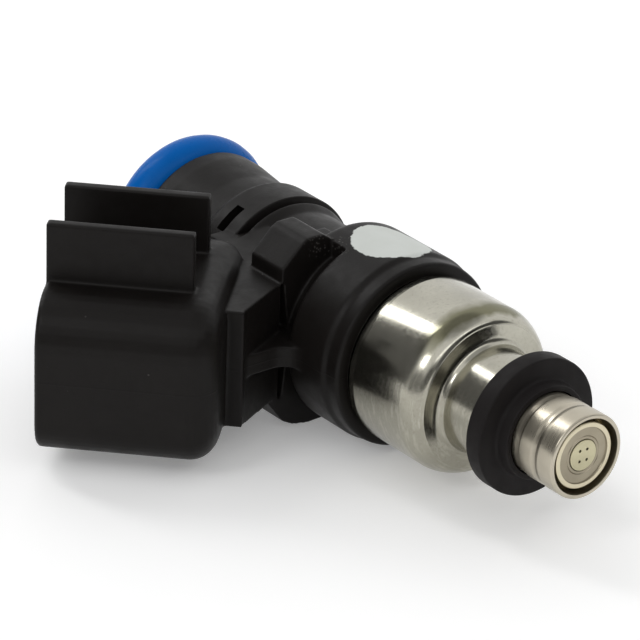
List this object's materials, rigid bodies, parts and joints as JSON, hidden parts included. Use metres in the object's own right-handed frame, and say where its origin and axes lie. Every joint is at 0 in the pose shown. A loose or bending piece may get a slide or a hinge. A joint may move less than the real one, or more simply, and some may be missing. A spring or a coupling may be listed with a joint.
{
  "type": "fuel injector",
  "caption": "Port fuel injector with a metal valve body, a moulded barrel, a blue inlet O-ring and an angled electrical connector shell with latch rails.",
  "frame": {"origin": "centre of the orifice plate's outer face, on the injector axis", "axes": "+Y along the injector axis from the spray end to the fuel inlet; the connector leaves the -X side in the XY plane with its mouth turned 45 degrees towards +Y; +Z on the connector's latch side"},
  "size_m": [0.0342, 0.0515, 0.0187],
  "materials": {
    "black_nylon": "satin glass-filled moulding",
    "black_rubber": "matt",
    "blue_rubber": "semi-gloss",
    "stainless": "polished",
    "seat_steel": "ground",
    "plate_steel": "fine matt",
    "ball_steel": "polished",
    "magnet_iron": "turned",
    "spring_steel": "drawn wire",
    "copper": "enamelled copper wire, wound",
    "natural_nylon": "natural",
    "filter_mesh": "fine woven mesh",
    "tin_plate": "tin plated"
  },
  "bodies": {
    "injector_body": {"housing_overmold": "black_nylon", "metal_can": "stainless", "nozzle_sleeve": "stainless", "orifice_plate": "plate_steel", "valve_seat": "seat_steel", "ball_guide": "seat_steel", "barrier_ring": "stainless", "pole_core": "magnet_iron", "adjusting_sleeve": "tin_plate", "return_spring": "spring_steel", "coil_bobbin": "natural_nylon", "coil_winding": "copper", "flux_washer": "magnet_iron", "inlet_tube": "stainless", "filter_frame": "natural_nylon", "filter_screen": "filter_mesh", "upper_o_ring": "blue_rubber", "lower_seal": "black_rubber", "terminal_pin_1": "tin_plate", "terminal_pin_2": "tin_plate"},
    "needle": {"valve_ball": "ball_steel", "needle_tube": "stainless", "armature": "magnet_iron"}
  },
  "joints": [
    {"name": "needle_lift", "type": "slide", "parent": "injector_body", "child": "needle", "axis": [0, 1, 0], "range_m": [0, 0.0001], "stiffness_N_per_m": 300, "springref_m": -0.01, "deforming": ["return_spring"]}
  ]
}
